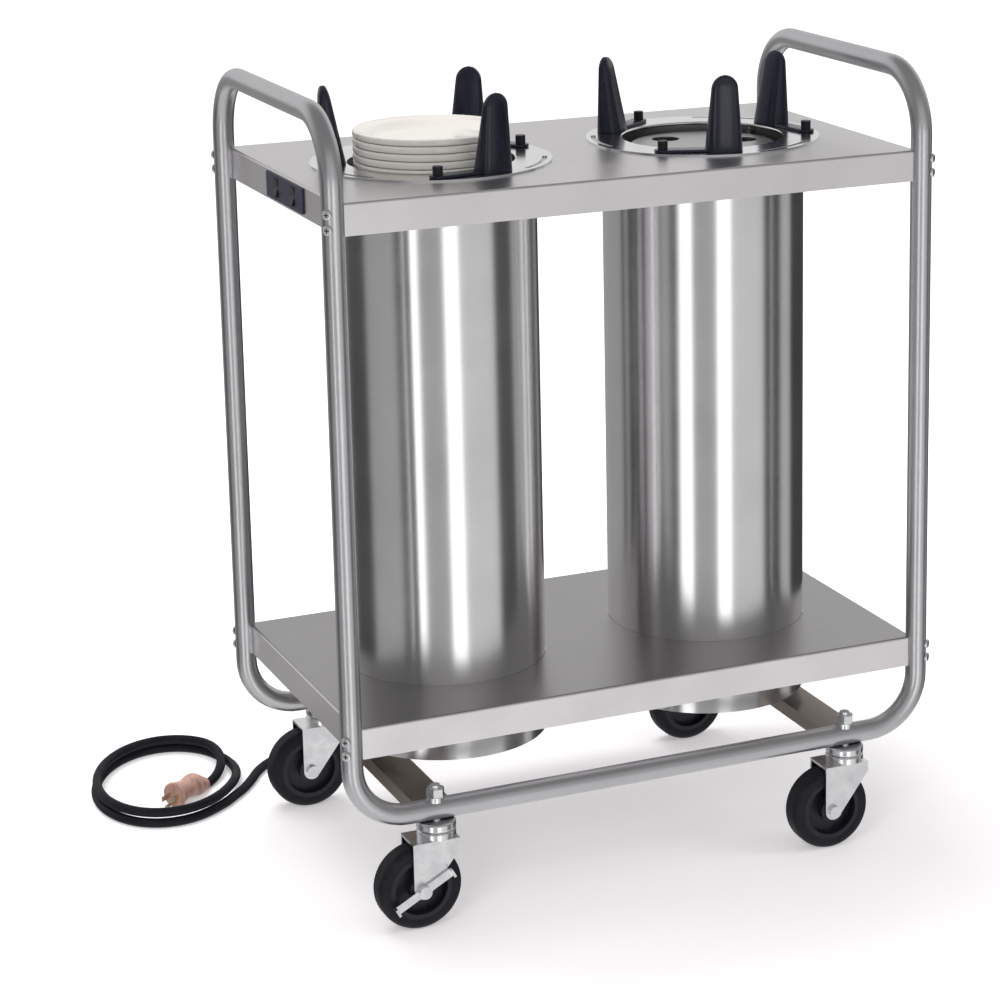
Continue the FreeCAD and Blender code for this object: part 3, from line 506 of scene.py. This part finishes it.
def china():
    """Cream glaze, a little uneven, over a body that shows a few specks."""
    made = Nodes("china", (0.73, 0.705, 0.66), 0.16)
    flow = made.noise(made.place(), scale=22.0, detail=2.0)
    specks = made.noise(made.place(), scale=380.0, detail=2.0)
    made.vary_color(made.spread(specks, 1, 0, start=0.2, end=0.3), (1, 1, 1), (0.72, 0.66, 0.58))
    made.vary_roughness(flow, 0.05)
    made.bump(flow, 0.0002, strength=0.5)
    made.shader.inputs["Coat Weight"].default_value = 0.4
    made.shader.inputs["Coat Roughness"].default_value = 0.05
    return made.material


def wool():
    """Yellow glass wool with lumps of fibre."""
    made = Nodes("glass_wool", (0.78, 0.72, 0.48), 0.95)
    fibres = made.noise(made.place((900, 900, 120)), detail=8.0)
    made.vary_color(made.spread(fibres, 0, 1), *grey(0.7, 1.1))
    made.bump(fibres, 0.0008)
    return made.material


def dress_nodes():
    """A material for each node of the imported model."""
    kinds = {
        "frame_tube": tube_steel(),
        # The top shelf's top faces get a little painted shade
        "shelf_steel": shelf_steel("shelf_steel", (0.76, 0.735, 0.745), 0.92),
        "body_steel": body_steel(),
        "flange_steel": flange_steel(),
        "inner_steel": brushed(
            "inner_steel", (0.55, 0.545, 0.54), 0.36, grain=(500, 500, 9)).material,
        "zinc_steel": zinc("zinc_steel", (0.84, 0.84, 0.86), 0.24),
        "spring_steel": zinc("spring_steel", (0.40, 0.40, 0.42), 0.30),
        "insulation": wool(),
        "heater_rod": zinc("heater_rod", (0.12, 0.105, 0.10), 0.5),
        "tyre_rubber": rubber("tyre_rubber", (0.010, 0.010, 0.014), (3.2, 3.0, 2.8)),
        "wheel_core": plastic("wheel_core", (0.012, 0.013, 0.020), 0.38),
        "guide_plastic": plastic("guide_plastic", (0.0065, 0.008, 0.019), 0.30, coat=0.25),
        "knob_plastic": plastic("knob_plastic", (0.008, 0.009, 0.014), 0.4),
        "control_plastic": plastic("control_plastic", (0.026, 0.024, 0.048), 0.45),
        "rocker_plastic": plastic("rocker_plastic", (0.010, 0.010, 0.016), 0.42),
        "plate_china": china(),
        "relief_rubber": rubber("relief_rubber", (0.012, 0.012, 0.014), (2.0, 2.0, 2.0)),
        "cord_jacket": rubber("cord_jacket", (0.009, 0.009, 0.013), (2.4, 2.3, 2.3)),
        "plug_plastic": plastic("plug_plastic", (0.60, 0.36, 0.29), 0.40),
        "blade_metal": zinc("blade_metal", (0.72, 0.66, 0.52), 0.22),
    }
    slots = {part["node"]: part["material_slot"] for part in frame["record"]["subparts"]}
    for name, piece in nodes.items():
        put_on(piece, kinds[slots[name]])
    # The cross channels get a darker steel, which paints the shade under the bottom shelf
    for name in ("left_cross_channel", "right_cross_channel"):
        put_on(nodes[name], shaded_channel_steel())
    # The bottom shelf gets a paler steel, which paints light on its lip and ends, and much
    # darker tops, which paint the top shelf's shade on it
    put_on(nodes["bottom_shelf"], shelf_steel("lower_shelf_painted_light_and_shade", (0.86, 0.83, 0.84), 0.46))
    return kinds


def put_on(piece, material):
    piece.data.materials.clear()
    piece.data.materials.append(material)


# Cord and plug

def coil_point(turn):
    """A place on the oval coil, for an angle that grows along the cord."""
    angle = math.radians(turn)
    share = turn / FULL_TURN
    across = (coil_half_w - coil_w_step * share) * math.cos(angle)
    along = -(coil_half_l - coil_l_step * share) * math.sin(angle)
    lean = math.radians(coil_lean)
    x = coil_x + across * math.cos(lean) + along * math.sin(lean)
    y = coil_y - across * math.sin(lean) + along * math.cos(lean)
    climb = min(1.0, max(0.0, (turn - coil_climb_start) / (coil_climb_end - coil_climb_start)))
    lift = (cord_d + coil_layer_gap) * climb * climb * (3 - 2 * climb)
    return Vector((x, y, cord_d / 2 + lift))


def cord_points():
    """From the strain relief down to the floor, round the coil and into the plug."""
    step = (coil_end - coil_start) / FULL_TURN
    way = (coil_point(coil_start + step) - coil_point(coil_start - step)).normalized()
    entry = coil_point(coil_start) - way * coil_stub
    points = [Vector(cord_exit)] + [Vector(place) for place in cord_way_down]
    points += [entry - way * coil_lead, entry]
    span = (coil_end - coil_start) / coil_spans
    points += [coil_point(coil_start + span * index) for index in range(coil_spans + 1)]
    plug_at, plug_way = plug_end()
    points += [Vector(cord_tail), plug_at - plug_way * coil_stub, plug_at]
    return points


def plug_end():
    """Where the cord goes into the plug, and the plug's direction."""
    turn = math.radians(plug_heading)
    return Vector((plug_x, plug_y, cord_d / 2)), Vector((math.cos(turn), math.sin(turn), 0))


def make_cord(material):
    """The whole cord as one spline, as thick as its jacket."""
    curve = bpy.data.curves.new("power_cord", "CURVE")
    curve.dimensions = "3D"
    curve.bevel_depth = cord_d / 2
    curve.bevel_resolution = 6
    curve.use_fill_caps = True
    curve.resolution_u = cord_steps
    points = cord_points()
    spline = curve.splines.new("NURBS")
    spline.points.add(len(points) - 1)
    for place, point in zip(spline.points, points):
        place.co = (*point, 1)
    spline.order_u = 3
    spline.use_endpoint_u = True
    cord = bpy.data.objects.new("power_cord", curve)
    bpy.context.scene.collection.objects.link(cord)
    put_on(cord, material)
    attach(cord, "frame")
    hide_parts("cord_run", "cord_coil")
    return cord


def plug_sections():
    """Distances along the plug from the cord's end, each with the plug's radius there."""
    cord_r = cord_d / 2
    grip_r = plug_d / 2
    face_r = plug_face_d / 2
    grip = plug_boot_l + plug_l
    face = grip + plug_face_t
    sections = [(0.0, cord_r + plug_lip)]
    for rib in range(plug_ribs):
        growth = (grip_r - cord_r - plug_rib_step) * (rib + 1) / plug_ribs
        radius = cord_r + plug_rib_step + growth
        for share, groove in plug_rib_line:
            sections.append((plug_boot_l * (rib + share) / plug_ribs, radius - groove))
    sections += [
        (plug_boot_l + plug_shoulder, grip_r),
        (plug_boot_l + plug_l / 2, grip_r - plug_waist),
        (grip - plug_shoulder, grip_r),
        (grip, face_r - plug_lip),
        (grip + plug_edge, face_r),
        (face - plug_edge, face_r),
        (face, face_r - plug_edge)]
    return sections


def make_plug(material):
    """Moulded plug with a ribbed boot, a waisted grip and a flat face, lying on the floor."""
    at, way = plug_end()
    side = UP.cross(way)
    lift = plug_face_d / 2 - cord_d / 2
    rings = []
    for along, radius in plug_sections():
        rise = max(lift * min(1.0, along / plug_boot_l), radius - cord_d / 2)
        share = min(1.0, max(0.0, (along - plug_boot_l) / plug_l))
        narrow = 1.0 - plug_pinch * math.sin(math.pi * share)
        centre = at + way * along + UP * rise
        rings.append(oval(centre, side * radius * narrow, UP * radius, plug_corners))
    plug = skin("plug_moulding", rings)
    bevel(plug, plug_bevel, segments=2)
    put_on(plug, material)
    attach(plug, "frame")
    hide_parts("plug_body")
    return plug


# Plates

def plate_profile(z):
    """Section of a coupe plate with a rolled rim and a foot ring."""
    low = (plate_r - plate_low_round, z + plate_h - plate_rim + plate_low_round)
    high = (plate_r - plate_top_round, z + plate_h - plate_top_round)
    section = [(radius, z + height) for radius, height in plate_under]
    section += arc(low, plate_low_round, first=-70, last=0, steps=4)
    section += arc(high, plate_top_round, first=0, last=140, steps=9)
    section += [(radius, z + height) for radius, height in plate_well]
    return section


def make_plates(material):
    """Equal plates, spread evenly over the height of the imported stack."""
    low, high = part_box("plate_stack")
    pitch = (high.z - low.z - plate_h) / (plate_count - 1)
    centre = dispenser_centre("left")
    for index in range(plate_count):
        section = plate_profile(low.z + pitch * index)
        plate = lathe("plate_" + str(index + 1), section, centre, plate_steps)
        put_on(plate, material)
        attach(plate, "left_carrier")
        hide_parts("plate_stack")


# Springs

def make_springs(side, material):
    """Close-wound extension springs that stretch between the flange and the carrier."""
    low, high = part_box(side + "_carrier_springs")
    centre = dispenser_centre(side)
    wire_r = spring_wire_d / 2
    mean_r = spring_d / 2 - wire_r
    turns = (high.z - low.z - spring_wire_d) / spring_wire_d
    for index in range(spring_count):
        angle = spring_angle + FULL_TURN / spring_count * index
        foot = polar(spring_ring, angle, centre, low.z + wire_r)
        rings = []
        for step in range(int(turns * spring_steps) + 1):
            turn = 2 * math.pi * step / spring_steps
            out = Vector((math.cos(turn), math.sin(turn), 0))
            at = foot + out * mean_r + UP * spring_wire_d * step / spring_steps
            rings.append(oval(at, out * wire_r, UP * wire_r, spring_corners))
        spring = skin(side + "_spring_" + str(index + 1), rings)
        put_on(spring, material)
        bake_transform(spring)
        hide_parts(side + "_carrier_springs")


# Guides

def guide_rings():
    """Level sections of a post at the origin, whose X points away from the plates."""
    rings = []
    radius = guide_top_w / 2
    shoulder = guide_h - radius
    for row in range(guide_rows + 1):
        share = row / guide_rows
        height = guide_h * (1 - (1 - share) ** guide_row_power)
        taper = height / guide_h
        half_w = (guide_base_w + (guide_top_w - guide_base_w) * taper) / 2
        half_t = (guide_base_t + (guide_top_t - guide_base_t) * taper) / 2
        if height > shoulder:
            part = min(1.0, (height - shoulder) / radius)
            crown = math.sqrt(max(0.0, 1 - part * part))
            half_w = max(guide_tip, half_w * crown)
            thinner = 1 - guide_crown_share + guide_crown_share * crown
            half_t = max(guide_tip, half_t * thinner)
        lean = guide_lean * taper
        ring = []
        for index in range(guide_corners):
            turn = 2 * math.pi * index / guide_corners
            across = half_w * squared(math.sin(turn))
            deep = half_t * squared(math.cos(turn))
            ring.append(Vector((lean + deep, across, height)))
        rings.append(ring)
    return rings


def squared(part):
    """A sine or cosine that draws a circle out to a rounded rectangle."""
    return math.copysign(abs(part) ** guide_corner_power, part)


def make_guide(side, index, material):
    """A moulded post with its foot plate, which reaches to the clamp stud."""
    centre = dispenser_centre(side)
    angle = guide_angles[side] + FULL_TURN / guide_count * index
    at = polar(guide_ring, angle, centre, guide_foot_z)
    place = Matrix.Translation(at) @ Matrix.Rotation(math.radians(angle), 4, "Z")
    name = side + "_guide_" + str(index + 1)
    rings = [[place @ point for point in ring] for ring in guide_rings()]
    post = skin(name + "_moulding", rings)
    bevel(post, guide_bevel)
    pivot = polar(knob_ring, angle - knob_turn, centre, guide_foot_z)
    foot = foot_plate(name + "_foot", pivot, at)
    for piece in (post, foot):
        put_on(piece, material)
        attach(piece, name)
        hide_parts(side + "_guide_post_" + str(index + 1))


def foot_plate(name, pivot, at):
    """Flat arm with a round end about the clamp stud and a square end under the post."""
    heading = (at - pivot).normalized()
    across = UP.cross(heading)
    outline = []
    for step in range(arm_steps + 1):
        turn = math.pi / 2 + math.pi * step / arm_steps
        outline.append(pivot + (heading * math.cos(turn) + across * math.sin(turn)) * arm_r)
    outline += [at - across * arm_r, at + across * arm_r]
    foot = skin(name, [outline, [point + UP * arm_t for point in outline]])
    bevel(foot, arm_bevel)
    return foot


# Screw recesses, drawn as painted shade

def make_recess_shades(material):
    """Dark cross in the head of each leg screw, which paints the shade of its recessed cross."""
    for shelf in ("top", "bottom"):
        shelf_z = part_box(shelf + "_shelf")[1].z
        for side_x in (-1, 1):
            for side_y in (-1, 1):
                inward = Vector((-side_x, -side_y, 0)).normalized()
                across = UP.cross(inward)
                for row in range(screw_rows):
                    height = shelf_z - screw_drop - row * screw_pitch
                    leg = Vector((side_x * leg_x, side_y * leg_y, height))
                    face = leg - inward * (tube_r + screw_head_h)
                    name = f"{shelf}_recess_{side_x + 1}{side_y + 1}{row}"
                    recess_shade = cross(name, face, across, inward)
                    put_on(recess_shade, material)
                    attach(recess_shade, "frame")


def cross(name, face, across, inward):
    """Thin dark cross sunk in a screw head, which stands out of it by a hair: painted shade
    where the head is recessed.
    """
    long = cross_l / 2
    thin = cross_w / 2
    flat = [
        (long, thin), (thin, thin), (thin, long),
        (-thin, long), (-thin, thin), (-long, thin),
        (-long, -thin), (-thin, -thin), (-thin, -long),
        (thin, -long), (thin, -thin), (long, -thin)]
    near = [face + across * u + UP * v + inward * cross_sink for u, v in flat]
    far = [point - inward * (cross_sink + cross_rise) for point in near]
    return skin(name, [near, far], smooth=False)


# Stage, light and camera

# Tones that the steel sees round it, each at an angle from straight in front
# towards the left: below the horizon, and above it
wall_tones = [
    (-180, 0.36), (-158, 0.36), (-150, 0.05), (-96, 0.05), (-91, 0.50), (-77, 0.50),
    (-71, 0.07), (-51, 0.08), (-45, 0.72), (-8, 0.72), (-4, 2.0), (8, 2.0), (12, 0.42),
    (37, 0.42), (40, 2.0), (51, 2.0), (56, 0.12), (62, 0.12), (67, 0.42), (99, 0.38),
    (106, 0.06), (130, 0.06), (137, 0.36), (180, 0.36)]
upper_tones = [
    (-180, 0.78), (-110, 0.78), (-90, 0.40), (-50, 0.30), (-10, 0.60), (30, 0.60),
    (60, 0.25), (110, 0.35), (150, 0.78), (180, 0.78)]
floor_tone = 0.80
ceiling_tone = 0.28
# Heights of a direction of unit length, between which one of these passes into the next
floor_edge = (-0.62, -0.45)
horizon = (-0.03, 0.05)
ceiling_edge = (0.55, 0.75)
# Tone that lights the object from all round, and tone behind it
soft_tone = 0.5
backdrop_tone = 1.0

# The floor, and what the camera sees it add to its lit tone at two distances from the middle
floor_half = 30.0
floor_color = (0.84, 0.825, 0.84)
floor_glow_color = (1.0, 0.965, 0.985)
floor_near = 0.44
floor_far = 1.5
floor_glow_near = 0.34
floor_glow_far = 0.86


def tone_ramp(made, share, tones):
    """Tones at angles, as a ramp over a full turn."""
    ramp = made.add("ShaderNodeValToRGB")
    made.link(share, ramp.inputs["Fac"])
    while len(ramp.color_ramp.elements) < len(tones):
        ramp.color_ramp.elements.new(1.0)
    for element, (angle, tone) in zip(ramp.color_ramp.elements, tones):
        element.position = (angle + FULL_TURN / 2) / FULL_TURN
        element.color = (tone, tone, tone, 1)
    return ramp.outputs["Color"]


def make_world():
    """White background, soft light, and bands of tone for the reflections."""
    world = bpy.data.worlds.new("studio")
    bpy.context.scene.world = world
    world.use_nodes = True
    made = Graph(world.node_tree)
    split = made.add("ShaderNodeSeparateXYZ")
    made.link(made.add("ShaderNodeTexCoord").outputs["Generated"], split.inputs["Vector"])
    left = made.math("MULTIPLY", split.outputs["X"], -1)
    ahead = made.math("MULTIPLY", split.outputs["Y"], -1)
    share = made.spread(made.math("ARCTAN2", left, ahead), 0, 1, -math.pi, math.pi)
    height = split.outputs["Z"]
    walls = tone_ramp(made, share, wall_tones)
    upper = tone_ramp(made, share, upper_tones)
    tone = made.mix(made.spread(height, 0, 1, *horizon), walls, upper)
    tone = made.mix(made.spread(height, 1, 0, *floor_edge), tone, (floor_tone,) * 3)
    tone = made.mix(made.spread(height, 0, 1, *ceiling_edge), tone, (ceiling_tone,) * 3)
    path = made.add("ShaderNodeLightPath")
    seen = made.mix(path.outputs["Is Glossy Ray"], (soft_tone,) * 3, tone)
    seen = made.mix(path.outputs["Is Camera Ray"], seen, (backdrop_tone,) * 3)
    made.link(seen, made.tree.nodes["Background"].inputs["Color"])


def make_floor():
    """White floor that keeps the object's shadow, and is brighter farther off."""
    corners = [(-1, -1), (1, -1), (1, 1), (-1, 1)]
    points = [(x * floor_half, y * floor_half, 0) for x, y in corners]
    floor = add_mesh("floor", points, [(0, 1, 2, 3)])
    made = Nodes("floor", floor_color, 0.9)
    made.shader.inputs["Specular IOR Level"].default_value = 0.0
    path = made.add("ShaderNodeLightPath")
    distance = made.add("ShaderNodeVectorMath", operation="LENGTH")
    made.link(made.place(), distance.inputs[0])
    glow = made.spread(
        distance.outputs["Value"], floor_glow_near, floor_glow_far, floor_near, floor_far)
    glow = made.math("MULTIPLY", path.outputs["Is Camera Ray"], glow)
    made.shader.inputs["Emission Color"].default_value = (*floor_glow_color, 1)
    made.link(glow, made.shader.inputs["Emission Strength"])
    put_on(floor, made.material)
    floor.visible_glossy = False


def softbox(name, place, target, size, power):
    """Area light that the steel doesn't mirror."""
    light = bpy.data.lights.new(name, "AREA")
    light.shape = "RECTANGLE"
    light.size, light.size_y = size
    light.energy = power
    lamp = bpy.data.objects.new(name, light)
    lamp.location = place
    lamp.rotation_euler = (Vector(target) - Vector(place)).to_track_quat("-Z", "Y").to_euler()
    lamp.visible_glossy = False
    bpy.context.scene.collection.objects.link(lamp)


def make_lights():
    softbox("top_box", (-0.5, 0.9, 3.0), target=(0, 0, 0.4), size=(2.2, 1.6), power=52)
    softbox("front_box", (-2.2, -2.6, 2.4), target=(0, 0, 0.5), size=(1.2, 1.6), power=34)
    softbox("right_box", (2.6, -1.4, 2.0), target=(0, 0, 0.5), size=(1.0, 1.6), power=16)


def make_camera():
    """Camera by its place and three angles, as fitted to the photograph."""
    yaw = math.radians(camera_yaw)
    pitch = math.radians(camera_pitch)
    roll = math.radians(camera_roll)
    level_part = math.cos(pitch)
    ahead = Vector((math.sin(yaw) * level_part, math.cos(yaw) * level_part, math.sin(pitch)))
    level = Vector((math.cos(yaw), -math.sin(yaw), 0))
    above = level.cross(ahead)
    right = level * math.cos(roll) + above * math.sin(roll)
    top = above * math.cos(roll) - level * math.sin(roll)
    turn = Matrix((right, top, -ahead)).transposed().to_4x4()
    data = bpy.data.cameras.new("camera")
    data.lens = camera_lens
    data.sensor_width = camera_sensor_w
    data.shift_x = camera_shift_x
    data.shift_y = camera_shift_y
    data.clip_end = camera_reach
    camera = bpy.data.objects.new("camera", data)
    camera.matrix_world = Matrix.Translation(camera_place) @ turn
    bpy.context.scene.collection.objects.link(camera)
    bpy.context.scene.camera = camera


make_camera()
kinds = dress_nodes()
cord = make_cord(kinds["cord_jacket"])
plug = make_plug(kinds["plug_plastic"])
make_plates(kinds["plate_china"])
for side in guide_angles:
    for index in range(guide_count):
        make_guide(side, index, kinds["guide_plastic"])
    make_springs(side, kinds["spring_steel"])
# Dark crosses that paint the shade in the screw heads
make_recess_shades(kinds["knob_plastic"])
make_floor()
make_world()
make_lights()
bpy.context.scene.view_settings.view_transform = "Standard"
